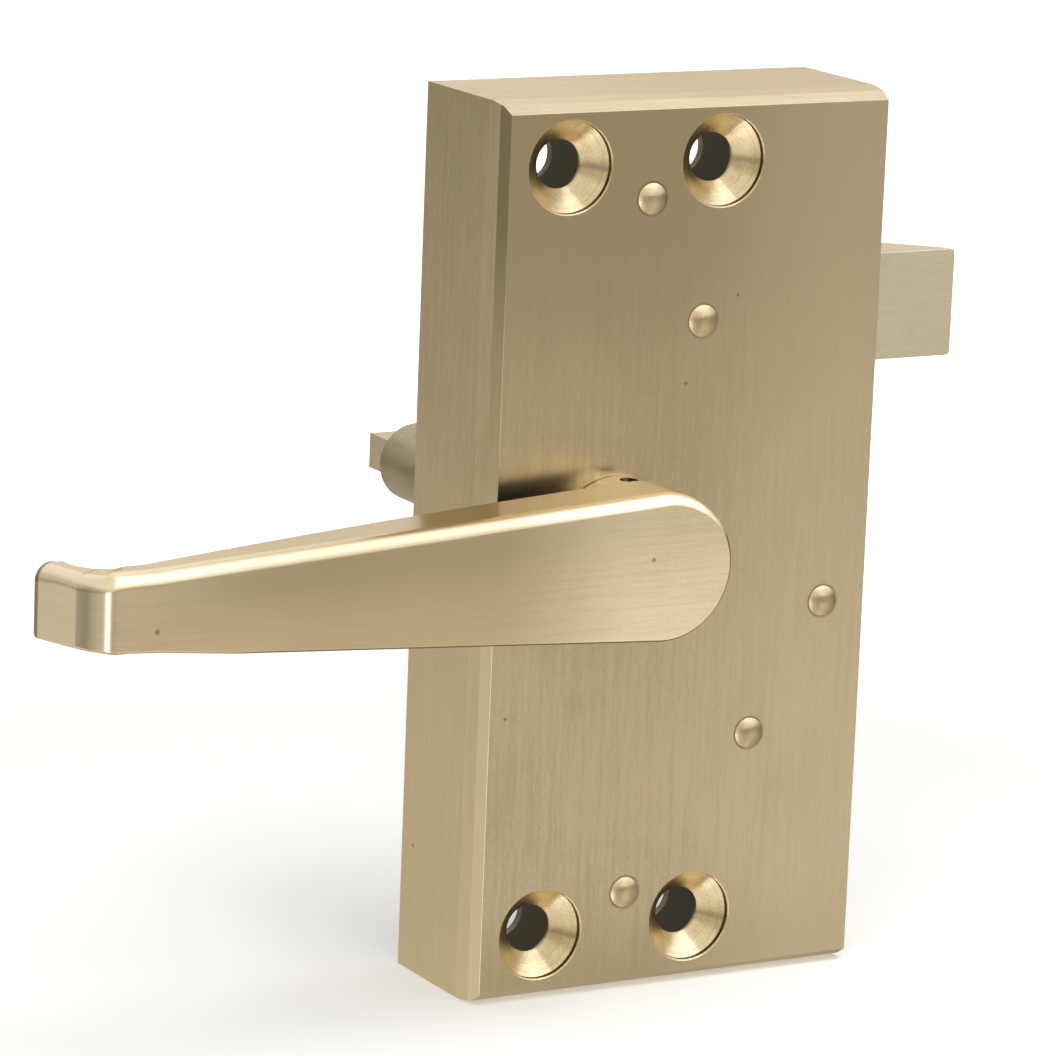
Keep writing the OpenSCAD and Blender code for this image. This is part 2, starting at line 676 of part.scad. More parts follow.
module lever_set_screw() {
    z_a = spindle_sq / 2 + slack;
    z_b = collar_r - 1;
    socket = 0.8;
    color("dimgray") translate([0, y_front - set_screw_out, z_a]) difference() {
        cylinder(h = z_b - z_a, r = set_screw_r);
        translate([0, 0, z_b - z_a - 2]) cylinder(h = 2 + past, r = socket, $fn = 6);
    }
}

case();
works_plate();
plate_posts();
guide_post();
front_bush();
plate_bush();
stop_pins();
spring_anchor();
latch_bolt();
bolt_tail();
tail_rivets();
spring_rod();
bolt_spring();
thrust_washer();
hub();
cam_pin();
spring_collar();
drive_pin();
return_spring();
spindle();
spindle_sleeve();
sleeve_pin();
lever();
lever_set_screw();
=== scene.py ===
# Surface lever latch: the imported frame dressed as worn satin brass, on a pale studio floor.
# Metres, +Z up, origin on the spindle at the door's face. Settings are in mm unless said.
import math

import bmesh
import bpy
import numpy as np
from mathutils import Matrix, Vector


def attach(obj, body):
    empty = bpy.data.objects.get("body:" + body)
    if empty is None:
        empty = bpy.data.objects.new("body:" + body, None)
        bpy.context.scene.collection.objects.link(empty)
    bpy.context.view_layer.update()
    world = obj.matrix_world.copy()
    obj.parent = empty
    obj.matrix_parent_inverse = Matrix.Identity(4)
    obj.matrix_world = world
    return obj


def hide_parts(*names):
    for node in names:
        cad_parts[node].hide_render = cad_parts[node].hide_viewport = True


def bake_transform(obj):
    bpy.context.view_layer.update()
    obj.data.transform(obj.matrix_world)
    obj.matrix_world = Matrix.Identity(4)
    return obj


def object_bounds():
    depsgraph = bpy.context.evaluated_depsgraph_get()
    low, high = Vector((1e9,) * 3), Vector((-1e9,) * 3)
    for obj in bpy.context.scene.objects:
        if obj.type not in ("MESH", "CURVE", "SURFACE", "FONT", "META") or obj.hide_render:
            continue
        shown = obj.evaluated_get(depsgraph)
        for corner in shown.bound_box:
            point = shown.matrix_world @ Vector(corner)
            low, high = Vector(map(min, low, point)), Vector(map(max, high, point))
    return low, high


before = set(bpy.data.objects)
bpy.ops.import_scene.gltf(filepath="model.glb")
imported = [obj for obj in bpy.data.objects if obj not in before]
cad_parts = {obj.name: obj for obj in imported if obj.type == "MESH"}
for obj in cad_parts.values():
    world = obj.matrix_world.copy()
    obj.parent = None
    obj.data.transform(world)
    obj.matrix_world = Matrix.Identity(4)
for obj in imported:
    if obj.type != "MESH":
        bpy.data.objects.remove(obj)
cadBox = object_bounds()
print("frame loaded")

mm = 0.001


def hexColor(text):
    # sRGB hex to linear: each channel is ((c + 0.055) / 1.055) ** 2.4 above the toe
    parts = [int(text[i:i + 2], 16) / 255 for i in (1, 3, 5)]
    linear = [c / 12.92 if c <= 0.04045 else ((c + 0.055) / 1.055) ** 2.4 for c in parts]
    return (*linear, 1.0)


# short names of nodes: Blender's kind, its options, the inputs that take the values in turn, and the
# output that is read
nodeKinds = {
    "times": ("ShaderNodeMath", {"operation": "MULTIPLY"}, (0, 1), 0),
    "minus": ("ShaderNodeMath", {"operation": "SUBTRACT"}, (0, 1), 0),
    "timesPlus": ("ShaderNodeMath", {"operation": "MULTIPLY_ADD"}, (0, 1, 2), 0),
    "least": ("ShaderNodeMath", {"operation": "MINIMUM"}, (0, 1), 0),
    "size": ("ShaderNodeMath", {"operation": "ABSOLUTE"}, (0,), 0),
    "sign": ("ShaderNodeMath", {"operation": "SIGN"}, (0,), 0),
    "bearing": ("ShaderNodeMath", {"operation": "ARCTAN2"}, (0, 1), 0),
    "scaled": ("ShaderNodeVectorMath", {"operation": "MULTIPLY"}, (0, 1), 0),
    "moved": ("ShaderNodeVectorMath", {"operation": "ADD"}, (0, 1), 0),
    "crossed": ("ShaderNodeVectorMath", {"operation": "CROSS_PRODUCT"}, (0, 1), 0),
    "reach": ("ShaderNodeVectorMath", {"operation": "DOT_PRODUCT"}, (0, 1), 1),
    "distance": ("ShaderNodeVectorMath", {"operation": "DISTANCE"}, (0, 1), 1),
    "length": ("ShaderNodeVectorMath", {"operation": "LENGTH"}, (0,), 1),
    "vector": ("ShaderNodeCombineXYZ", {}, (0, 1, 2), 0),
    "parts": ("ShaderNodeSeparateXYZ", {}, (0,), None),
    "eased": ("ShaderNodeMapRange", {"interpolation_type": "SMOOTHSTEP"}, (0, 1, 2, 3, 4), 0),
    "ranged": ("ShaderNodeMapRange", {}, (0, 1, 2, 3, 4), 0),
    "mixed": ("ShaderNodeMix", {"data_type": "RGBA"}, (0, 6, 7), 2),
    "mixedWay": ("ShaderNodeMix", {"data_type": "VECTOR"}, (0, 4, 5), 1),
    "mixedNumber": ("ShaderNodeMix", {"data_type": "FLOAT"}, (0, 2, 3), 0),
    "noise": ("ShaderNodeTexNoise", {}, ("Vector", "Scale", "Detail", "Roughness"), 0),
    "glow": ("ShaderNodeEmission", {}, (0, 1), 0),
    "sky": ("ShaderNodeBackground", {}, (0, 1), 0),
    "either": ("ShaderNodeMixShader", {}, (0, 1, 2), 0),
}


def addNode(tree, kind, *values, named=None, **options):
    # adds a node by its short or Blender name; each value is set or linked on the next input, or on
    # the input of its name; gives the output that the short name reads, or else the node
    full, fixed, slots, out = nodeKinds.get(kind, (kind, {}, (), None))
    made = tree.nodes.new(full)
    for key, value in {**fixed, **options}.items():
        setattr(made, key, value)
    for key, value in {**dict(zip(slots, values)), **(named or {})}.items():
        if isinstance(value, bpy.types.NodeSocket):
            tree.links.new(value, made.inputs[key])
        else:
            made.inputs[key].default_value = value
    return made if out is None else made.outputs[out]


def newMaterial(name):
    # an empty node material with its output
    mat = bpy.data.materials.new(name)
    mat.use_nodes = True
    mat.node_tree.nodes.clear()
    out = mat.node_tree.nodes.new("ShaderNodeOutputMaterial")
    return mat, mat.node_tree, out


# camera: place and the point it looks at in metres, its roll in degrees and its lens
view = {
    "place": (-0.44607, -0.78394, 0.19858),
    "aim": (-0.01658, -0.027, 0.00429),
    "roll": 2.244,
    "lens": 184.58,
}


def makeCamera(v):
    # camera axes: -Z along the line of sight, then turned about it by the roll
    data = bpy.data.cameras.new("photoCamera")
    data.sensor_fit = "HORIZONTAL"
    data.sensor_width = 36.0
    data.lens = v["lens"]
    data.clip_start = 0.05
    data.clip_end = 20.0
    cam = bpy.data.objects.new("photoCamera", data)
    sight = Vector(v["aim"]) - Vector(v["place"])
    turn = sight.to_track_quat("-Z", "Y").to_matrix().to_4x4()
    roll = Matrix.Rotation(math.radians(v["roll"]), 4, "Z")
    cam.matrix_world = Matrix.Translation(v["place"]) @ turn @ roll
    bpy.context.scene.collection.objects.link(cam)
    bpy.context.scene.camera = cam


makeCamera(view)
print("camera")

# soft studio: metal mirrors a room whose level goes by compass bearing in degrees, one row of levels
# low down, one above the horizon and one overhead; two softboxes light the floor and cast the
# shadow. Lengths here are in metres
studio = {
    "floorTint": "#F4F3F0",
    "floorGlow": 0.22,
    "floorSize": 6.0,
    "ambient": 0.50,
    "low": [(-180, 0.8), (-170, 1.0), (-163, 2.7), (-145, 2.7), (-134, 1.0), (-100, 0.78),
            (-88, 0.62), (-80, 0.46), (-68, 0.46), (-60, 1.0), (-50, 1.05), (-42, 0.80),
            (-30, 0.74), (0, 0.7), (50, 0.5), (100, 0.5), (128, 0.88), (142, 0.98), (149, 1.0),
            (154, 0.80), (165, 0.74)],
    "high": [(-180, 1.4), (-120, 0.9), (-80, 0.6), (-54, 1.0), (-30, 0.95), (0, 1.0), (30, 1.15),
             (60, 0.95), (100, 1.1), (126, 1.8), (140, 2.1), (160, 1.9), (176, 1.3)],
    "crown": [(-180, 1.5), (-60, 1.3), (0, 1.5), (37, 1.75), (75, 1.4), (110, 2.7), (135, 3.2),
              (160, 2.7)],
    # heights between which dusk is read, -1 straight down and 0 at the horizon, and the share of
    # the low row's level that it gives at each height
    "dip": (-0.5, 0.1),
    "dusk": [(-0.40, 1.30), (-0.30, 1.15), (-0.21, 1.0), (-0.15, 0.74), (-0.08, 0.56), (0.0, 0.5)],
    # heights between which low turns to high, and high to crown
    "rise": (-0.02, 0.10),
    "arch": (0.30, 0.52),
    "warm": (1.0, 0.95, 0.87),
    "cool": (1.0, 1.05, 1.20),
    # metres from the piece at which the floor's glow starts to grow and is full, and its full level
    "farGlow": (0.16, 0.42, 0.9),
    "overhead": {"place": (0.10, -0.16, 0.75), "aim": (0.0, -0.03, 0.0), "size": (0.60, 0.34),
                 "watts": 3.0},
    "side": {"place": (-0.55, -0.55, 0.50), "aim": (0.0, 0.0, 0.0), "size": (0.50, 0.50),
             "watts": 1.5},
}


def makeLamp(name, s):
    # rectangular softbox turned to face its aim, seen by matte surfaces only
    data = bpy.data.lights.new(name, "AREA")
    data.shape = "RECTANGLE"
    data.size, data.size_y = s["size"]
    data.energy = s["watts"]
    lamp = bpy.data.objects.new(name, data)
    turn = (Vector(s["aim"]) - Vector(s["place"])).to_track_quat("-Z", "Y").to_matrix().to_4x4()
    lamp.matrix_world = Matrix.Translation(s["place"]) @ turn
    lamp.visible_glossy = False
    bpy.context.scene.collection.objects.link(lamp)


def levelRamp(tree, share, stops, low, high):
    # grey ramp over share, whose stops are given from low to high
    ramp = addNode(tree, "ShaderNodeValToRGB", named={0: share})
    points = ramp.color_ramp.elements
    while len(points) < len(stops):
        points.new(0.5)
    for point, (place, level) in zip(points, stops):
        point.position = (place - low) / (high - low)
        point.color = (level, level, level, 1)
    return ramp.outputs[0]


def makeWorld(s):
    # glossy rays: bearing = atan2(x, y) through three ramps mixed by height; white to the camera
    world = bpy.data.worlds.new("studioWorld")
    world.use_nodes = True
    world.cycles.sampling_method = "NONE"
    tree = world.node_tree
    tree.nodes.clear()
    out = tree.nodes.new("ShaderNodeOutputWorld")
    way = addNode(tree, "ShaderNodeTexCoord")
    split = addNode(tree, "parts", way.outputs["Generated"])
    bearing = addNode(tree, "bearing", split.outputs[0], split.outputs[1])
    share = addNode(tree, "ranged", bearing, -math.pi, math.pi)
    rows = ("low", "high", "crown")
    low, high, crown = (levelRamp(tree, share, s[row], -180, 180) for row in rows)
    height = addNode(tree, "ranged", split.outputs[2], *s["dip"])
    room = addNode(tree, "scaled", low, levelRamp(tree, height, s["dusk"], *s["dip"]))
    for limits, upper in ((s["rise"], high), (s["arch"], crown)):
        room = addNode(tree, "mixed", addNode(tree, "eased", split.outputs[2], *limits), room, upper)
    # dim parts of the room are warmer and bright ones cooler, as window light is
    bright = addNode(tree, "ranged", room, 1.0, 2.0)
    tint = addNode(tree, "mixed", bright, (*s["warm"], 1), (*s["cool"], 1))
    white = addNode(tree, "sky", (1, 1, 1, 1), 1.0)
    seen = addNode(tree, "sky", (1, 1, 1, 1), s["ambient"])
    mirrored = addNode(tree, "sky", addNode(tree, "scaled", room, tint), 1.0)
    ray = addNode(tree, "ShaderNodeLightPath")
    for kind, sky in (("Glossy", mirrored), ("Transmission", white), ("Camera", white)):
        seen = addNode(tree, "either", ray.outputs["Is " + kind + " Ray"], seen, sky)
    tree.links.new(seen, out.inputs[0])
    bpy.context.scene.world = world


def makeFloor(s):
    # pale matte paper; to the camera it also glows, faintly near the piece so its shadow stays and
    # fully where the softboxes no longer reach, so the sheet is white throughout
    z = cadBox[0][2]
    half = s["floorSize"] / 2
    mesh = bpy.data.meshes.new("floor")
    corners = [(-half, -half, z), (half, -half, z), (half, half, z), (-half, half, z)]
    mesh.from_pydata(corners, [], [(0, 1, 2, 3)])
    floor = bpy.data.objects.new("floor", mesh)
    floor.visible_glossy = False
    bpy.context.scene.collection.objects.link(floor)
    mat, tree, out = newMaterial("studio paper, pale matte")
    paper = addNode(tree, "ShaderNodeBsdfDiffuse", named={0: hexColor(s["floorTint"])}).outputs[0]
    where = addNode(tree, "ShaderNodeTexCoord")
    far = addNode(tree, "distance", where.outputs["Object"], (0.0, 0.0, z))
    near, away, full = s["farGlow"]
    level = addNode(tree, "eased", far, near, away, s["floorGlow"], full)
    glow = addNode(tree, "glow", (1, 1, 1, 1), level)
    both = addNode(tree, "ShaderNodeAddShader", named={0: paper, 1: glow}).outputs[0]
    ray = addNode(tree, "ShaderNodeLightPath")
    tree.links.new(addNode(tree, "either", ray.outputs["Is Camera Ray"], paper, both), out.inputs[0])
    mesh.materials.append(mat)


makeFloor(studio)
makeWorld(studio)
makeLamp("overheadBox", studio["overhead"])
makeLamp("sideBox", studio["side"])
bpy.context.scene.view_settings.view_transform = "Standard"
print("studio")


# one settings dictionary per metal: colours of its clean and toned parts and of its specks; the way
# its streaks run, and mm per streak across and along; how far they show; its gloss, its relief, how
# far the gloss is stretched, its lacquer, mm per cloud of patina, and the strength of its painted
# glow, a faint emission standing in for light that doesn't reach it. A 240 to 320 grit belt has
# grains of about 0.05 mm, too fine to show, so all streaks are drawn coarser than that
metals = {
    "satin_brass": {
        "name": "brass, linished and lacquered",
        "clean": "#BDAC8A", "toned": "#998A68", "deep": "#6B5B3F",
        "lay": "case", "across": 0.20, "along": 4.2, "tone": 0.5, "rough": (0.28, 0.34),
        "bump": 0.45, "stretch": 0.5, "coat": 0.25, "cloud": 40.0, "specks": 0.35},
    "sink_brass": {
        "name": "brass countersink, turned",
        "clean": "#C4B18A", "toned": "#9C8A64", "deep": "#5E4E33",
        "lay": "case", "across": 0.17, "along": 7.0, "tone": 0.7, "rough": (0.17, 0.27), "bump": 0.9,
        "stretch": 0.8, "coat": 0.1, "cloud": 5.0, "specks": 0.7},
    "lever_brass": {
        "name": "brass, cast and brushed along",
        "clean": "#DECDA9", "toned": "#AB9975", "deep": "#7C6A4A",
        "lay": "uv", "across": 0.20, "along": 9.0, "tone": 0.35, "rough": (0.20, 0.25), "bump": 0.25,
        "stretch": 0.5, "coat": 0.25, "cloud": 30.0, "specks": 0.35},
    "bolt_brass": {
        "name": "brass, milled and fine blasted",
        "clean": "#B7AB8F", "toned": "#A09477", "deep": "#8A7857",
        "lay": "x", "across": 0.35, "along": 3.0, "tone": 0.4, "rough": (0.42, 0.52), "bump": 0.5,
        "stretch": 0.2, "coat": 0.2, "cloud": 9.0, "specks": 0.3},
    "sleeve_brass": {
        "name": "brass tube, turned",
        "clean": "#968B71", "toned": "#776D55", "deep": "#6D6046",
        "lay": "y", "across": 0.35, "along": 3.0, "tone": 0.5, "rough": (0.34, 0.46), "bump": 0.5,
        "stretch": 0.4, "coat": 0.2, "cloud": 12.0, "specks": 0.3},
    "spindle_brass": {
        "name": "brass bar, drawn",
        "clean": "#BCAE93", "toned": "#A19377", "deep": "#75694E",
        "lay": "y", "across": 0.3, "along": 9.0, "tone": 0.5, "rough": (0.33, 0.45), "bump": 0.5,
        "stretch": 0.4, "coat": 0.2, "cloud": 9.0, "specks": 0.4},
    "post_brass": {
        "name": "brass post, turned and riveted",
        "clean": "#B9A580", "toned": "#9A8763", "deep": "#6B5B3F",
        "lay": "y", "across": 0.25, "along": 1.2, "tone": 0.6, "rough": (0.2, 0.32), "bump": 0.4,
        "stretch": 0.3, "coat": 0.4, "cloud": 2.6, "specks": 0.3},
    "bush_bronze": {
        "name": "bronze bush, turned",
        "clean": "#B08A58", "toned": "#8F6E43", "deep": "#5A4630",
        "lay": "y", "across": 0.3, "along": 2.0, "tone": 0.5, "rough": (0.3, 0.42), "bump": 0.4,
        "stretch": 0.3, "coat": 0.0, "cloud": 6.0, "specks": 0.4},
    "dark_steel": {
        "name": "steel plate, rolled and oiled dark",
        "clean": "#5C574E", "toned": "#443F37", "deep": "#2E2A24",
        "lay": "z", "across": 0.5, "along": 8.0, "tone": 0.5, "rough": (0.38, 0.55), "bump": 0.5,
        "stretch": 0.2, "coat": 0.1, "cloud": 14.0, "specks": 0.5, "paintedGlow": 0.75},
    "plain_steel": {
        "name": "steel, stamped and oiled",
        "clean": "#9C9A94", "toned": "#7F7C74", "deep": "#4F4A40",
        "lay": "x", "across": 0.35, "along": 5.0, "tone": 0.5, "rough": (0.32, 0.46), "bump": 0.4,
        "stretch": 0.3, "coat": 0.0, "cloud": 9.0, "specks": 0.4, "paintedGlow": 0.75},
    "bright_steel": {
        "name": "steel pin, ground bright",
        "clean": "#B4B2AC", "toned": "#96938B", "deep": "#5F5B52",
        "lay": "y", "across": 0.2, "along": 2.0, "tone": 0.4, "rough": (0.2, 0.32), "bump": 0.3,
        "stretch": 0.3, "coat": 0.0, "cloud": 4.0, "specks": 0.3},
    "spring_steel": {
        "name": "spring wire, drawn and tempered",
        "clean": "#77767A", "toned": "#5D5A5A", "deep": "#3A3733",
        "lay": "uv", "across": 0.2, "along": 6.0, "tone": 0.5, "rough": (0.26, 0.4), "bump": 0.3,
        "stretch": 0.2, "coat": 0.0, "cloud": 3.0, "specks": 0.3},
    "black_steel": {
        "name": "grub screw, blackened steel",
        "clean": "#4A4844", "toned": "#37342F", "deep": "#262420",
        "lay": "z", "across": 0.2, "along": 1.0, "tone": 0.5, "rough": (0.32, 0.48), "bump": 0.3,
        "stretch": 0.1, "coat": 0.1, "cloud": 1.5, "specks": 0.3, "paintedGlow": 3.0},
}
# dents and pits: piece's metal, place on the surface, radius
marks = {
    "satin_brass": [((12.5, -27.0, 26.8), 0.45), ((-19.5, -27.0, -28.0), 0.4),
                    ((21.9, -27.0, 41.2), 0.35), ((-23.6, -4.1, -55.4), 0.45)],
    "lever_brass": [((-92.2, -44.8, -2.8), 0.6), ((-2.8, -44.8, 1.7), 0.5)],
}
# darker and paler places, most of them painted shade and painted highlights: colour, how strongly it
# shows, and what bounds it, each eased from none at the first number to full at the second (mm from
# the spindle, or parts of the surface's direction); a third and fourth number stand for none and
# full
places = {
    "satin_brass": [
        # painted shade: the face darkened towards its top, where it reflects less light; it is also
        # darker at its foot and paler on the bolt's side
        ("#998A68", 0.75, [("facingY", -0.9, -0.97), ("z", 5.0, 55.0)]),
        ("#998A68", 0.6, [("facingY", -0.9, -0.97), ("z", -58.0, -76.0)]),
        ("#CDBE9C", 0.45, [("facingY", -0.9, -0.97), ("x", 5.0, 45.0)]),
        # painted shade and highlight: the top darkened and yellowed towards the bolt, where its
        # reflection dims, and the plain side paled low down, where its reflection brightens
        ("#9B8450", 0.45, [("facingZ", 0.9, 0.97), ("x", -16.0, 22.0)]),
        ("#D2C29C", 0.5, [("facingX", -0.9, -0.97), ("z", 15.0, -20.0)]),
        # painted shade: a dark patch on the face beside and above the lever, standing in for the
        # lever's shadow and its dark reflection in the face
        ("#6A5F43", 0.36, [("shelter", 1.0, 0.25), ("facingY", -0.1, -0.3)]),
        # painted reflection and highlight: the ground flats of the plain side darkened at the top,
        # where they mirror a dark part of the room, and paled lower down as a painted highlight
        ("#8F8261", 1.0, [("facingX", -0.2, -0.3), ("facingY", -0.2, -0.25), ("z", 25.0, 60.0)]),
        ("#DCCBA4", 0.9, [("facingX", -0.2, -0.3), ("facingY", -0.2, -0.25), ("z", 30.0, -5.0)]),
    ],
    "lever_brass": [
        # the bar is darker than the round end and the tip
        ("#AB9975", 0.85, [("x", -2.0, -34.0), ("x", -112.0, -62.0, 0.45, 1.0)]),
        # painted shade: a dark line on the sharp lower and right edges, standing in for their dark
        # reflection
        ("#4E4229", 0.9, [("facingY", -0.97, -0.86), ("facingZ", 0.4, 0.1), ("x", -84.0, -70.0)]),
        # painted highlight: the tip paled and greyed so its reflections read whiter; its end is
        # darker
        ("#C9BFAC", 0.4, [("x", -99.5, -102.0)]),
        ("#6E6042", 0.8, [("tipRun", -7.0, -6.6), ("x", -90.0, -100.0)]),
    ],
}
# painted shade: oval on the case's face where the lever's shadow and dark reflection fall, and the
# direction in which the tip runs back
shelter = {"middle": (-17, 0, 9), "size": (24, 9)}
tipWay = (-0.213, 0.977, 0)
# ends of the posts: places, seam's inner and outer edges, and how fast the riveted end falls away
posts = {"ends": [(4.5, 58.2), (15.3, 37.2), (41.6, -12.8), (28.1, -34.8), (4.9, -60.5)],
         "seamIn": (2.6, 2.7), "seamOut": (3.15, 2.8), "seam": 0.6, "fall": -1 / 24}
# centres of the countersinks go by quarters about the middle of the case's face; turned rings per mm
sinks = {"middle": (3.4, -1.1), "reach": (14.55, 65.1), "rim": 7.75, "rings": 3.2}
# what all the metals share: broad streaks' size and share, shares of the cloud and the grain, where
# the streaks' tone starts and ends, specks per mm and their bounds, relief's depth in mm, pits' tone
# and depth, the painted glow's colour, the lacquer's gloss, the metal's tint at grazing angles, and
# how the streaks are tipped
brush = {"broad": 0.22, "broadShare": 0.45, "cloudShare": 0.6, "grain": 3.2, "grainShare": 0.45,
         "tone": (0.3, 0.7), "speck": 1.9, "speckTone": (0.70, 0.78), "depth": 0.02, "pit": 0.7,
         "pitDepth": -1.5, "pitEdge": 0.45, "paintedGlow": (0.052, 0.044, 0.031, 1), "coatRough": 0.22,
         "coatIor": 1.5, "edgeTint": (0.86, 0.80, 0.70, 1.0), "tip": (0.031, 0.012, 0.023)}


def layVectors(tree, s, spot, normal):
    # coordinates with streaks one unit wide and long, and the direction the streaks run in
    wide, long = 1 / s["across"], 1 / s["along"]
    if s["lay"] == "uv":
        uv = addNode(tree, "scaled", addNode(tree, "ShaderNodeUVMap").outputs[0], (1000, 1000, 0))
        return addNode(tree, "scaled", uv, (long, wide, 1)), None
    if s["lay"] == "case":
        # upright on the face and sides, lengthwise on the ends and their ground flats
        upward = addNode(tree, "size", addNode(tree, "parts", normal).outputs[2])
        ends = addNode(tree, "eased", upward, 0.15, 0.2)
        upright = addNode(tree, "scaled", spot, (wide, wide, long))
        level = addNode(tree, "scaled", spot, (long, wide, wide))
        way = addNode(tree, "mixedWay", ends, (0, 0, 1), (1, 0, 0))
        return addNode(tree, "mixedWay", ends, upright, level), way
    way = {"x": (1, 0, 0), "y": (0, 1, 0), "z": (0, 0, 1)}[s["lay"]]
    lay = addNode(tree, "scaled", spot, [long if w else wide for w in way])
    return lay, addNode(tree, "vector", *way)


def quarterOffset(tree, spot):
    # from the nearest countersink's centre: (dx, 0, dz), and its length
    parts = addNode(tree, "parts", spot)
    found = []
    for axis, middle, reach in zip((0, 2), sinks["middle"], sinks["reach"]):
        off = addNode(tree, "minus", parts.outputs[axis], middle)
        found.append(addNode(tree, "timesPlus", addNode(tree, "sign", off), -reach, off))
    vector = addNode(tree, "vector", found[0], 0.0, found[1])
    return vector, addNode(tree, "length", vector)


def postGaps(tree, spot):
    # distance across the face from each post's axis
    flat = addNode(tree, "scaled", spot, (1, 0, 1))
    return [addNode(tree, "distance", flat, (x, 0, z)) for x, z in posts["ends"]]


def addPlaces(tree, slot, spot, normal, color):
    # each place's colour laid over the last, its share the product of its bounds' eased ramps
    at, facing = addNode(tree, "parts", spot), addNode(tree, "parts", normal)
    measures = {"x": at.outputs[0], "z": at.outputs[2], "facingX": facing.outputs[0],
                "facingY": facing.outputs[1], "facingZ": facing.outputs[2]}
    if slot == "lever_brass":
        measures["tipRun"] = addNode(tree, "reach", spot, tipWay)
    else:
        # length from the painted shade oval's middle, 1 on the oval's edge
        away = addNode(tree, "moved", spot, [-m for m in shelter["middle"]])
        wide, high = shelter["size"]
        away = addNode(tree, "scaled", away, (1 / wide, 0, 1 / high))
        measures["shelter"] = addNode(tree, "length", away)
    for tint, strength, bounds in places[slot]:
        share = strength
        for name, *span in bounds:
            share = addNode(tree, "times", addNode(tree, "eased", measures[name], *span), share)
        color = addNode(tree, "mixed", share, color, hexColor(tint))
    return color


def streakedColor(tree, s, spot, streak):
    # tone = streaks + the cloud's patina + a fine grain; then sparse specks of tarnish
    cloud = addNode(tree, "minus", addNode(tree, "noise", spot, 1 / s["cloud"], 3.0, 0.55), 0.5)
    grain = addNode(tree, "minus", addNode(tree, "noise", spot, brush["grain"], 2.0, 0.6), 0.5)
    drift = addNode(tree, "timesPlus", cloud, brush["cloudShare"], streak)
    drift = addNode(tree, "timesPlus", grain, brush["grainShare"], drift)
    share = addNode(tree, "times", addNode(tree, "eased", drift, *brush["tone"]), s["tone"])
    color = addNode(tree, "mixed", share, hexColor(s["clean"]), hexColor(s["toned"]))
    speck = addNode(tree, "noise", spot, brush["speck"], 4.0, 0.7)
    speck = addNode(tree, "eased", speck, *brush["speckTone"])
    speck = addNode(tree, "times", speck, s["specks"])
    return addNode(tree, "mixed", speck, color, hexColor(s["deep"]))


def addSeams(tree, spot, color, deep):
    # oxide in the seam round each post's end: a band between two distances from its axis
    for gap in postGaps(tree, spot):
        seam = addNode(tree, "times", addNode(tree, "eased", gap, *posts["seamOut"]),
                       addNode(tree, "eased", gap, *posts["seamIn"]))
        color = addNode(tree, "mixed", addNode(tree, "times", seam, posts["seam"]), color, deep)
    return color


def addPits(tree, slot, spot, color, deep, height):
    # each pit darkens and sinks the surface, full in the middle and none at its radius
    for place, radius in marks.get(slot, []):
        gap = addNode(tree, "distance", spot, place)
        pit = addNode(tree, "eased", gap, radius, radius * brush["pitEdge"])
        color = addNode(tree, "mixed", addNode(tree, "times", pit, brush["pit"]), color, deep)
        height = addNode(tree, "timesPlus", pit, brush["pitDepth"], height)
    return color, height


def addDomes(tree, spot, relief):
    # riveting leaves each end rounder than the CAD's shallow cap: height falls by distance squared
    near, *others = postGaps(tree, spot)
    for gap in others:
        near = addNode(tree, "least", near, gap)
    cap = addNode(tree, "times", addNode(tree, "times", near, near), posts["fall"])
    return addNode(tree, "ShaderNodeBump", named={
        "Strength": 1.0, "Distance": mm, "Height": cap, "Normal": relief}).outputs[0]


def acrossStreaks(tree, way):
    # surface normal x streak direction, which is tipped a little so that the product never vanishes
    # where a face is square to the streaks
    shape = addNode(tree, "ShaderNodeNewGeometry")
    turned = addNode(tree, "ShaderNodeVectorTransform", named={0: way}, vector_type="VECTOR",
                     convert_from="OBJECT", convert_to="WORLD").outputs[0]
    tipped = addNode(tree, "moved", turned, brush["tip"])
    return addNode(tree, "crossed", shape.outputs["Normal"], tipped)


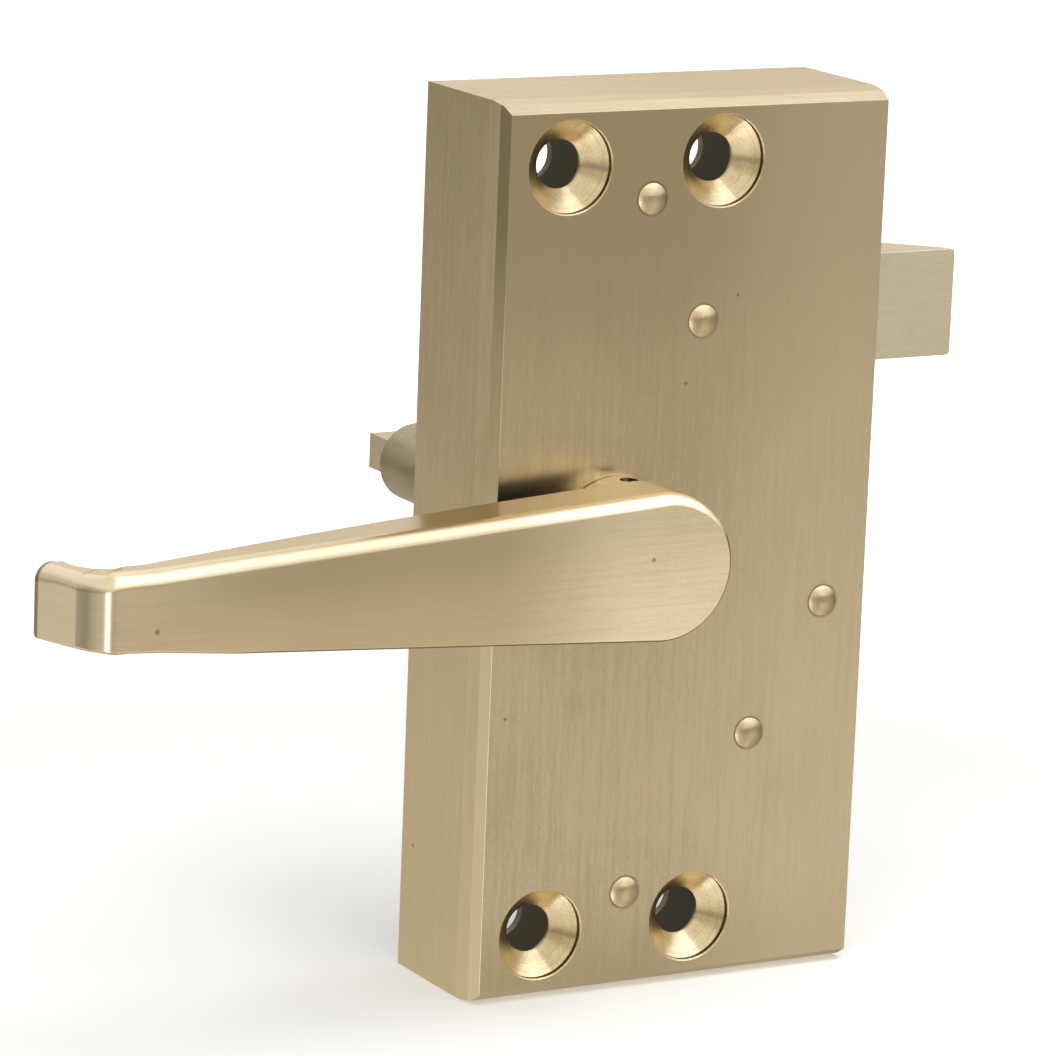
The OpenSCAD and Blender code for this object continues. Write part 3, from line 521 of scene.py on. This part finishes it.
def makeMetal(slot, s):
    # brushed metal: tone, pits, gloss and relief all follow the same streaks = fine + broad noise
    mat, tree, out = newMaterial(s["name"])
    where = addNode(tree, "ShaderNodeTexCoord")
    spot = addNode(tree, "scaled", where.outputs["Object"], (1000, 1000, 1000))
    lay, way = layVectors(tree, s, spot, where.outputs["Normal"])
    if slot == "sink_brass":
        # turned rings round the nearest countersink's centre
        ringWay, far = quarterOffset(tree, spot)
        lay = addNode(tree, "vector", addNode(tree, "times", far, sinks["rings"]))
    fine = addNode(tree, "noise", lay, 1.0, 3.0, 0.6)
    broad = addNode(tree, "noise", addNode(tree, "scaled", lay, [brush["broad"]] * 3), 1.0, 2.0, 0.5)
    streak = addNode(tree, "mixedNumber", brush["broadShare"], fine, broad)
    color, deep = streakedColor(tree, s, spot, streak), hexColor(s["deep"])
    if slot in places:
        color = addPlaces(tree, slot, spot, where.outputs["Normal"], color)
    if slot == "satin_brass":
        color = addSeams(tree, spot, color, deep)
    color, height = addPits(tree, slot, spot, color, deep, streak)
    relief = addNode(tree, "ShaderNodeBump", named={
        "Strength": s["bump"], "Distance": brush["depth"] * mm, "Height": height}).outputs[0]
    if slot == "post_brass":
        relief = addDomes(tree, spot, relief)
    bsdf = addNode(tree, "ShaderNodeBsdfPrincipled", named={
        "Base Color": color, "Metallic": 1.0, "Normal": relief, "Anisotropic": s["stretch"],
        "Roughness": addNode(tree, "ranged", streak, *brush["tone"], *s["rough"]),
        "Coat Weight": s["coat"], "Coat Roughness": brush["coatRough"],
        "Coat IOR": brush["coatIor"], "Specular Tint": brush["edgeTint"]})
    if way is None:
        # gloss stretched across the streaks, a quarter turn from the first texture axis
        across = addNode(tree, "ShaderNodeTangent", direction_type="UV_MAP").outputs[0]
        bsdf.inputs["Anisotropic Rotation"].default_value = 0.25
    else:
        across = ringWay if slot == "sink_brass" else acrossStreaks(tree, way)
    tree.links.new(across, bsdf.inputs["Tangent"])
    if "paintedGlow" in s:
        # painted glow: a faint grey emission standing in for light, so the works don't go black in
        # the closed case
        bsdf.inputs["Emission Color"].default_value = brush["paintedGlow"]
        bsdf.inputs["Emission Strength"].default_value = s["paintedGlow"]
    tree.links.new(bsdf.outputs[0], out.inputs[0])
    return mat


metalOf = {slot: makeMetal(slot, s) for slot, s in metals.items()}
print("metals")


def finishPiece(mesh, name, slot, body):
    # an object at the origin that wears the slot's metal and rides its body
    mesh.materials.clear()
    mesh.materials.append(metalOf[slot])
    piece = bpy.data.objects.new(name, mesh)
    bpy.context.scene.collection.objects.link(piece)
    if body:
        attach(piece, body)
    return piece


def meshFrom(name, points, faces, uv=None):
    # mesh of points in mm; doubled points welded, faces smooth and outward
    mesh = bpy.data.meshes.new(name)
    mesh.from_pydata((points * mm).tolist(), [], faces.tolist())
    if uv is not None:
        layer = mesh.uv_layers.new(name="lay")
        corner = np.zeros(len(mesh.loops), np.int32)
        mesh.loops.foreach_get("vertex_index", corner)
        layer.data.foreach_set("uv", (uv * mm)[corner].astype(np.float32).ravel())
    bm = bmesh.new()
    bm.from_mesh(mesh)
    bmesh.ops.remove_doubles(bm, verts=bm.verts, dist=1e-6)
    bmesh.ops.dissolve_degenerate(bm, edges=bm.edges, dist=1e-7)
    bmesh.ops.recalc_face_normals(bm, faces=bm.faces)
    bm.to_mesh(mesh)
    bm.free()
    mesh.shade_smooth()
    return mesh


def gridFaces(rows, cols, closeRows=False, closeCols=False):
    # quads of a rows x cols grid of points, closed in either direction if wanted
    r = np.arange(rows if closeRows else rows - 1)[:, None]
    c = np.arange(cols if closeCols else cols - 1)[None, :]
    r2, c2 = (r + 1) % rows, (c + 1) % cols
    return np.stack([r * cols + c, r2 * cols + c, r2 * cols + c2, r * cols + c2], -1).reshape(-1, 4)


def walked(line):
    # length along a line of points from its start to each point
    return np.concatenate([[0], np.cumsum(np.linalg.norm(np.diff(line, axis=0), axis=1))])


# the bar in plan and section. Bends of the outer side: radius, from and to angle, steps; lag: the
# inner side's share of the way for the outer side's; level: lengths between which the upper edge
# levels out; hubRound: rounding by angle round the hub; trim: rise of the lower edge by length
lever = {
    "front": -44.8, "back": -33.0, "hub": 12.4, "slope": 3.49, "tip": (-106.3, -28.3), "lean": 12.3,
    "start": -0.755, "join": -91.5, "tipHalf": 5.9, "longR": 701.4,
    "bends": [(3.2, 0, 46, 18), (8.6, 46, 66, 8), (33.0, 66, 69.5, 5)],
    "hollow": (-92.6, -30.57), "hollowR": 8.5, "hollowStart": -7.5,
    "lag": ([0, 0.38, 0.6, 1], [0, 0.30, 0.47, 1]), "level": (88, 98),
    "roundStart": 2.2, "round": 2.4, "roundEnd": 2.9, "lowRound": 0.5, "lowRoundEnd": 0.6,
    "endRun": 6, "endRound": 1.3, "edge": 0.5, "crown": 0.28, "crownRun": 20,
    "hubRound": ([-93, 0, 22, 62, 94], [0.5, 0.6, 0.75, 1.95, 2.2]),
    "trim": ([78, 97, 103], [0, 0.75, 0.5]), "trimEnd": -0.35,
    "creaseRun": 2.0, "turnRun": 1.5, "shiftShare": 0.4,
    # rows that hold the shading: before a rounding on the face, and on the side; and the least
    # length from the spine to an edge
    "holdFace": 0.15, "holdSide": 0.12, "leastReach": 0.4,
}


def leverRails(s):
    # plan curves of the outer and inner side from the spindle to near the tip's end, paired point
    # for point: straight, three arcs and straight, and an arc, a quarter circle and straight
    lean = math.radians(s["lean"])
    run = np.array([-math.sin(lean), math.cos(lean)])
    path = [np.zeros((1, 2))]
    for radius, a, b, steps in s["bends"]:
        g = np.radians(np.linspace(a, b, steps + 1))
        arc = np.stack([np.sin(g[0]) - np.sin(g[1:]), np.cos(g[0]) - np.cos(g[1:])], 1)
        path.append(path[-1][-1] + radius * arc)
    bend = np.concatenate(path)
    tip = np.array(s["tip"])
    creaseY = s["front"] + bend[-1, 1]
    along = (creaseY - tip[1]) / run[1]
    startX = tip[0] + along * run[0] - bend[-1, 0]
    bend = bend + [startX, s["front"]]
    steps = np.concatenate([[0.05], np.linspace(0.6, -along - s["endRound"], 8)])
    flat = bend[-1] + run * steps[:, None]
    barX = np.concatenate([[s["start"]], np.linspace(-3, s["join"], 44)])
    lead = np.stack([np.linspace(s["join"], startX, 8)[1:-1], np.full(6, s["front"])], 1)
    outer = np.concatenate([np.stack([barX, np.full(len(barX), s["front"])], 1), lead, bend, flat])
    g = np.radians(np.linspace(s["hollowStart"], 90, 60))
    hollow = np.array(s["hollow"]) - s["hollowR"] * np.stack([np.sin(g), np.cos(g)], 1)
    hollow = np.concatenate([hollow, [[hollow[-1, 0], tip[1] - s["endRound"]]]])
    backY = s["back"] - s["longR"] + np.sqrt(s["longR"] ** 2 - barX ** 2)
    # pair the corner by share of length, the inner side lagging at the corner
    walk = walked(outer[len(barX) - 1:])[1:]
    share = np.interp(walk / walk[-1], *s["lag"])
    far = walked(hollow)
    inner = np.stack([np.interp(share * far[-1], far, hollow[:, k]) for k in (0, 1)], 1)
    inner = np.concatenate([np.stack([barX, backY], 1), inner])
    length = np.concatenate([-barX, -s["join"] + walk])
    return outer, inner, length, len(barX), run


def leverPoints(s):
    # outline (upper rail from the tip's end, round the hub, lower rail back) x profile (spine, face,
    # front rounding, side, back rounding, back, spine)
    outer, inner, length, bar, run = leverRails(s)
    slope = math.radians(s["slope"])
    n = len(outer)
    half = s["hub"] / math.cos(slope) + outer[:, 0] * math.tan(slope)
    half[bar:] = np.linspace(half[bar - 1], s["tipHalf"], n - bar + 1)[1:]
    tilt = np.interp(length, s["level"], [slope, 0])
    up = np.stack([-np.sin(tilt), 0 * tilt, np.cos(tilt)], 1)
    end = length[-1]
    big = np.interp(length, [0, 40, end - s["endRun"], end],
                    [s["roundStart"], s["round"], s["round"], s["roundEnd"]])
    small = np.interp(length, [end - s["endRun"], end], [s["lowRound"], s["lowRoundEnd"]])
    # outer side with its crease drawn soft, for the roundings, and the direction into the bar square
    # to it
    walk = walked(outer)
    room = np.clip(np.minimum(walk, walk[-1] - walk), 0, s["creaseRun"])
    spread = walk[:, None] + room[:, None] * np.linspace(-1, 1, 9)
    soft = np.stack([np.interp(spread, walk, outer[:, k]).mean(1) for k in (0, 1)], 1)
    room = np.clip(room, 0.05, s["turnRun"])
    ahead = np.stack([np.interp(walk + room, walk, outer[:, k])
                      - np.interp(walk - room, walk, outer[:, k]) for k in (0, 1)], 1)
    ahead = ahead / np.linalg.norm(ahead, axis=1, keepdims=True)
    inward = np.stack([ahead[:, 1], -ahead[:, 0], 0 * walk], 1)
    # the lower edge rises a little before the corner and falls again to the end
    trim = np.interp(length, [*s["trim"][0], end], [*s["trim"][1], s["trimEnd"]])

    def railRows(sign, front):
        # one straight side of the outline
        z = half if sign > 0 else trim - half
        frontRail = np.stack([outer[:, 0], outer[:, 1], z], 1)
        backRail = np.stack([inner[:, 0], inner[:, 1], z], 1)
        spineFront, spineBack = frontRail * [1, 1, 0], backRail * [1, 1, 0]
        shift = np.stack([soft[:, 0] - outer[:, 0], soft[:, 1] - outer[:, 1], 0 * z], 1)
        return [frontRail, backRail, up * [1, 1, sign], front, spineFront, spineBack, length, shift,
                inward]

    top = [v[::-1] for v in railRows(1, big)]
    low = railRows(-1, small)
    # round the hub from the upper tangent, past the right, to the lower one
    tangent = 90 + s["slope"]
    a = np.radians(np.linspace(tangent, -tangent, 150))[1:-1]
    ring = np.stack([np.cos(a), 0 * a, np.sin(a)], 1)
    frontRail = ring * s["hub"] + [0, s["front"], 0]
    backRail = ring * s["hub"] + [0, s["back"], 0]
    rows = len(a)
    front = np.interp(np.degrees(a), *s["hubRound"])
    hub = [frontRail, backRail, ring, front, np.tile([0, s["front"], 0], (rows, 1)),
           np.tile([0, s["back"], 0], (rows, 1)), -frontRail[:, 0],
           np.zeros((rows, 3)), np.tile([0.0, 1.0, 0.0], (rows, 1))]
    every = [np.concatenate(v) for v in zip(top, hub, low)]
    frontRail, backRail, outWay, f, spineFront, spineBack, u, shift, intoBar = every
    toBack = backRail - frontRail
    thick = np.linalg.norm(toBack, axis=1, keepdims=True)
    toBack = toBack / thick
    f = f[:, None]
    b = s["edge"]
    rows = []
    # the face is crowned: it falls back by the square of the way to the rounding, which starts at
    # its slope
    fall = s["crown"] * np.clip((length[bar - 1] - u[:, None]) / s["crownRun"], 0, 1)
    frontRail = frontRail + toBack * fall
    thick = thick - fall
    reach = np.linalg.norm(frontRail - outWay * f - spineFront, axis=1, keepdims=True)
    reach = np.maximum(reach, s["leastReach"])
    tilt = np.arctan(2 * fall / reach)
    brink = frontRail - outWay * f * (1 - np.sin(tilt)) + intoBar * f * (1 - np.cos(tilt))
    for w in (0.0, 0.2, 0.4, 0.6, 0.8, None):
        w = 1 - s["holdFace"] / reach if w is None else w
        rows.append(spineFront + (brink - spineFront) * w - toBack * fall * (w - w * w))
    for k in np.linspace(0, 1, 15):
        g = tilt + (math.pi / 2 - tilt) * k
        slide = shift * min(k / s["shiftShare"], 1)
        rows.append(frontRail + slide - outWay * f * (1 - np.sin(g)) + intoBar * f * (1 - np.cos(g)))
    rows.append(frontRail + shift + intoBar * (f + s["holdSide"]))
    rows.append(frontRail + toBack * (f + thick - b) * 0.5)
    rows.append(frontRail + toBack * (thick - b - s["holdSide"]))
    for g in np.radians(np.linspace(90, 0, 6)):
        rows.append(frontRail - outWay * b * (1 - math.sin(g))
                    + toBack * (thick - b * (1 - math.cos(g))))
    brink = backRail - outWay * b
    reach = np.maximum(np.linalg.norm(brink - spineBack, axis=1, keepdims=True), s["leastReach"])
    for w in (1 - s["holdFace"] / reach, 0.6, 0.3, 0.0):
        rows.append(spineBack + (brink - spineBack) * w)
    points = np.stack(rows, 1)
    # texture: along the bar, and height on the face carried on over the roundings
    step = np.cumsum(np.linalg.norm(np.diff(points, axis=1), axis=2), axis=1)
    step = np.concatenate([np.zeros((len(points), 1)), step], 1)
    edge, level = step[:, 6:7], points[:, 6:7, 2]
    v = np.where(step < edge, points[:, :, 2], level + (step - edge) * np.clip(level / 4, -1, 1))
    uv = np.stack([np.repeat(u[:, None], points.shape[1], 1), v], -1)
    return points, uv, np.array([run[0], run[1], 0])


def leverCap(s, points, uv, run):
    # the tip's end: the last section's ring drawn in and carried on by a quarter circle, then
    # closed flat
    ring = np.concatenate([points[0], points[-1][::-1]])
    ringUv = np.concatenate([uv[0], uv[-1][::-1]])
    middle = (ring.max(0) + ring.min(0)) / 2
    reach = (ring.max(0) - ring.min(0)) / 2
    q = np.radians(np.linspace(0, 90, 9))
    r = s["endRound"]
    rings = [middle + (ring - middle) * (1 - r * (1 - math.cos(a)) / np.maximum(reach, r))
             + run * r * math.sin(a) for a in q]
    rings += [middle + run * r + (rings[-1] - middle - run * r) * w for w in (0.9, 0.4, 0.0)]
    ringUv = np.stack([ringUv + [k * 0.2, 0] for k in range(len(rings))])
    return np.stack(rings), ringUv


points, uv, run = leverPoints(lever)
capPoints, capUv = leverCap(lever, points, uv, run)
rows, cols = points.shape[:2]
faces = gridFaces(rows, cols)
capFaces = gridFaces(*capPoints.shape[:2], closeCols=True) + rows * cols
mesh = meshFrom("leverBar", np.concatenate([points.reshape(-1, 3), capPoints.reshape(-1, 3)]),
                np.concatenate([faces, capFaces]),
                np.concatenate([uv.reshape(-1, 2), capUv.reshape(-1, 2)]))
finishPiece(mesh, "leverBar", "lever_brass", "handle")
print("lever", len(mesh.polygons))

collar = {"r": 12.1, "neck": 9.1, "bore": 4.7, "start": -33.6, "face": -27.1, "end": -22.3,
          "edge": 0.35, "screwY": -31.0, "screwR": 1.55, "steps": 160, "crisp": 35}


def revolvePoints(profile, steps):
    # (radius, y) pairs turned about the spindle's axis
    a = np.linspace(0, 2 * np.pi, steps, endpoint=False)[:, None]
    r, y = profile[:, 0][None, :], profile[:, 1][None, :]
    return np.stack([r * np.sin(a), y + 0 * a, r * np.cos(a)], -1)


def makeCollar(s):
    # ring behind the bar with its neck, drilled for the grub screw
    q = np.radians(np.linspace(0, 90, 5))
    e = s["edge"]
    corner = np.stack([s["r"] - e + e * np.cos(q), s["face"] - e + e * np.sin(q)], 1)
    profile = np.concatenate([
        [[s["bore"], s["start"]], [s["r"], s["start"]], [s["r"], s["start"] + 0.2],
         [s["r"], s["face"] - e - 0.15]], corner,
        [[s["neck"], s["face"]], [s["neck"], s["end"]], [s["bore"], s["end"]]]])
    steps = s["steps"]
    points = revolvePoints(profile, steps)
    girth = np.repeat(np.linspace(0, 2 * np.pi * s["r"], steps)[:, None], len(profile), 1)
    uv = np.stack([points[:, :, 1], girth], -1)
    faces = gridFaces(steps, len(profile), True, True)
    ring = meshFrom("leverCollar", points.reshape(-1, 3), faces, uv.reshape(-1, 2))
    a = np.linspace(0, 2 * np.pi, 48, endpoint=False)[:, None]
    drill = np.array([[0, 5.0], [s["screwR"], 5.0], [s["screwR"], 13.0], [0, 13.0]])
    r = drill[:, 0]
    drilled = np.stack([r * np.cos(a), s["screwY"] + r * np.sin(a), drill[:, 1] + 0 * a], -1)
    bit = meshFrom("drill", drilled.reshape(-1, 3), gridFaces(48, 4, closeRows=True))
    pin = bpy.data.objects.new("drill", bit)
    blank = bpy.data.objects.new("blank", ring)
    for obj in (pin, blank):
        bpy.context.scene.collection.objects.link(obj)
    cut = blank.modifiers.new("drill", "BOOLEAN")
    cut.operation, cut.object, cut.solver = "DIFFERENCE", pin, "EXACT"
    bpy.context.view_layer.update()
    bored = blank.evaluated_get(bpy.context.evaluated_depsgraph_get())
    made = bpy.data.meshes.new_from_object(bored)
    made.name = "leverCollar"
    for obj in (pin, blank):
        bpy.data.objects.remove(obj)
    return made


def crispEdges(mesh, limit, wide=None):
    # faces smooth, but edges sharper than the limit kept crisp; wide flat faces meet crisply at any
    # angle
    bm = bmesh.new()
    bm.from_mesh(mesh)
    for face in bm.faces:
        face.smooth = True
    for edge in bm.edges:
        turn = edge.calc_face_angle(0)
        area = min((f.calc_area() for f in edge.link_faces), default=0)
        large = wide is not None and area > wide * mm * mm
        edge.smooth = not (turn > math.radians(limit) or (large and turn > math.radians(2.5)))
    bm.to_mesh(mesh)
    bm.free()


mesh = makeCollar(collar)
crispEdges(mesh, collar["crisp"])
ring = finishPiece(mesh, "leverCollar", "lever_brass", "handle")
ring.modifiers.new("even", "WEIGHTED_NORMAL").keep_sharp = True
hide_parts("lever")
print("collar")

# welding distance in metres; angles in degrees: joined flats, kept edges, bevelled edges; area in
# mm2 from which a flat face meets its neighbours crisply
dressing = {"weld": 2e-6, "flat": 0.3, "crisp": 30, "rounded": 34, "wideFace": 25, "segments": 2}
# dressed copies of frame nodes: metal slot, body, rounding of their edges
dressed = {
    "case": ("satin_brass", "housing", 0.05), "works_plate": ("dark_steel", "housing", 0.1),
    "plate_posts": ("post_brass", "housing", 0.08), "guide_post": ("post_brass", "housing", 0.08),
    "front_bush": ("bush_bronze", "housing", 0.1), "plate_bush": ("bush_bronze", "housing", 0.1),
    "stop_pins": ("bright_steel", "housing", 0.08),
    "spring_anchor": ("bright_steel", "housing", 0.08),
    "thrust_washer": ("bright_steel", "housing", 0.08), "latch_bolt": ("bolt_brass", "bolt", 0.2),
    "bolt_tail": ("plain_steel", "bolt", 0.12), "tail_rivets": ("bright_steel", "bolt", 0.08),
    "spring_rod": ("bright_steel", "bolt", 0.08), "hub": ("plain_steel", "handle", 0.12),
    "cam_pin": ("bright_steel", "handle", 0.1), "spring_collar": ("plain_steel", "handle", 0.1),
    "drive_pin": ("bright_steel", "handle", 0.08), "spindle": ("spindle_brass", "handle", 0.2),
    "spindle_sleeve": ("sleeve_brass", "handle", 0.1),
    "sleeve_pin": ("bright_steel", "handle", 0.08),
    "lever_set_screw": ("black_steel", "handle", 0.06),
}


def wearSinks(mesh):
    # faces inside the countersinks wear the turned metal: centre within the rim, and not the front
    mesh.materials.append(metalOf["sink_brass"])
    centre = np.zeros(len(mesh.polygons) * 3)
    normal = np.zeros(len(mesh.polygons) * 3)
    mesh.polygons.foreach_get("center", centre)
    mesh.polygons.foreach_get("normal", normal)
    centre, normal = centre.reshape(-1, 3) / mm, normal.reshape(-1, 3)
    off = np.abs(centre[:, [0, 2]] - sinks["middle"]) - sinks["reach"]
    inside = np.hypot(off[:, 0], off[:, 1]) < sinks["rim"] + 0.1
    inside = inside & (centre[:, 1] < -22.1) & (normal[:, 1] > -0.99)
    mesh.polygons.foreach_set("material_index", inside.astype(np.int32))


def dressCopy(node, slot, body, width):
    # welded copy of the node, its flat triangles joined, its edges rounded by a live bevel
    mesh = bpy.data.meshes.new(node + "Skin")
    bm = bmesh.new()
    bm.from_mesh(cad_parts[node].data)
    bmesh.ops.remove_doubles(bm, verts=bm.verts, dist=dressing["weld"])
    flat = math.radians(dressing["flat"])
    bmesh.ops.dissolve_limit(bm, angle_limit=flat, verts=bm.verts, edges=bm.edges)
    bm.to_mesh(mesh)
    bm.free()
    crispEdges(mesh, dressing["crisp"], dressing["wideFace"])
    piece = finishPiece(mesh, node + "Skin", slot, body)
    if node == "case":
        wearSinks(mesh)
    bevel = piece.modifiers.new("edges", "BEVEL")
    bevel.width = width * mm
    bevel.segments = dressing["segments"]
    bevel.limit_method = "ANGLE"
    bevel.angle_limit = math.radians(dressing["rounded"])
    bevel.use_clamp_overlap = True
    piece.modifiers.new("even", "WEIGHTED_NORMAL").keep_sharp = True
    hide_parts(node)


for node, (slot, body, width) in dressed.items():
    dressCopy(node, slot, body, width)
print("dressed copies")

springs = {
    "bolt_spring": {"wire": 0.35, "coil": 2.25, "turns": 7.5, "from": 18.85, "to": 42.35,
                    "axis": (-15.9, 37.2), "sides": 14, "steps": 420},
    "return_spring": {"wire": 0.6, "coil": 9.4, "turns": 3.4, "from": -9.18, "to": -4.9,
                      "start": 200, "fixedLeg": 12, "driveLeg": 5, "sides": 14, "steps": 320},
}


def wirePoints(line, radius, sides):
    # tube round a line: ring plane from the line's direction and the parallel-carried normal
    t = np.gradient(line, axis=0)
    t /= np.linalg.norm(t, axis=1, keepdims=True)
    n = np.cross(t, [0.31, 0.87, 0.38])
    n /= np.linalg.norm(n, axis=1, keepdims=True)
    m = np.cross(t, n)
    a = np.linspace(0, 2 * np.pi, sides, endpoint=False)
    ring = np.cos(a)[None, :, None] * n[:, None] + np.sin(a)[None, :, None] * m[:, None]
    points = line[:, None] + radius * ring
    along = np.repeat(walked(line)[:, None], sides, 1)
    uv = np.stack([along, np.repeat((a * radius)[None], len(line), 0)], -1)
    # close both ends with their middle points
    ends = np.repeat(line[[0, -1]][:, None], sides, 1)
    points = np.concatenate([ends[:1], points, ends[1:]])
    uv = np.concatenate([uv[:1], uv, uv[-1:]])
    return points, uv


def makeSpring(name, line, s):
    # a wire mesh with no body of its own; the spring bends between two bodies, but nothing here
    # makes the mesh follow them
    points, uv = wirePoints(line, s["wire"], s["sides"])
    faces = gridFaces(points.shape[0], s["sides"], closeCols=True)
    mesh = meshFrom(name, points.reshape(-1, 3), faces, uv.reshape(-1, 2))
    return finishPiece(mesh, name, "spring_steel", None)


# compression spring: closed turn at each end, open turns between
s = springs["bolt_spring"]
turn = np.linspace(0, s["turns"], s["steps"])
span, gap = s["to"] - s["from"], 2 * s["wire"]
x = s["from"] + np.interp(turn, [0, 1, s["turns"] - 1, s["turns"]], [0, gap, span - gap, span])
a = 2 * np.pi * turn
line = np.stack([x, s["axis"][0] + s["coil"] * np.cos(a), s["axis"][1] + s["coil"] * np.sin(a)], 1)
piece = makeSpring("boltSpring", line, s)
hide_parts("bolt_spring")
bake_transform(piece)

# torsion spring: straight legs leave the coil at a tangent
s = springs["return_spring"]
a = np.radians(s["start"] + 360 * s["turns"] * np.linspace(0, 1, s["steps"]))
y = np.linspace(s["from"], s["to"], s["steps"])
coil = np.stack([s["coil"] * np.cos(a), y, s["coil"] * np.sin(a)], 1)
tangent = np.stack([-np.sin(a), 0 * a, np.cos(a)], 1)
lead = coil[0] - tangent[0] * s["fixedLeg"] * np.linspace(1, 0, 20)[:-1, None]
tail = coil[-1] + tangent[-1] * s["driveLeg"] * np.linspace(0, 1, 10)[1:, None]
piece = makeSpring("returnSpring", np.concatenate([lead, coil, tail]), s)
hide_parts("return_spring")
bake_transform(piece)
print("springs")

# the frame's own nodes wear the same metals by their slots' names
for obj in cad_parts.values():
    for k, slot in enumerate(obj.data.materials):
        obj.data.materials[k] = metalOf[slot.name.split(".")[0]]
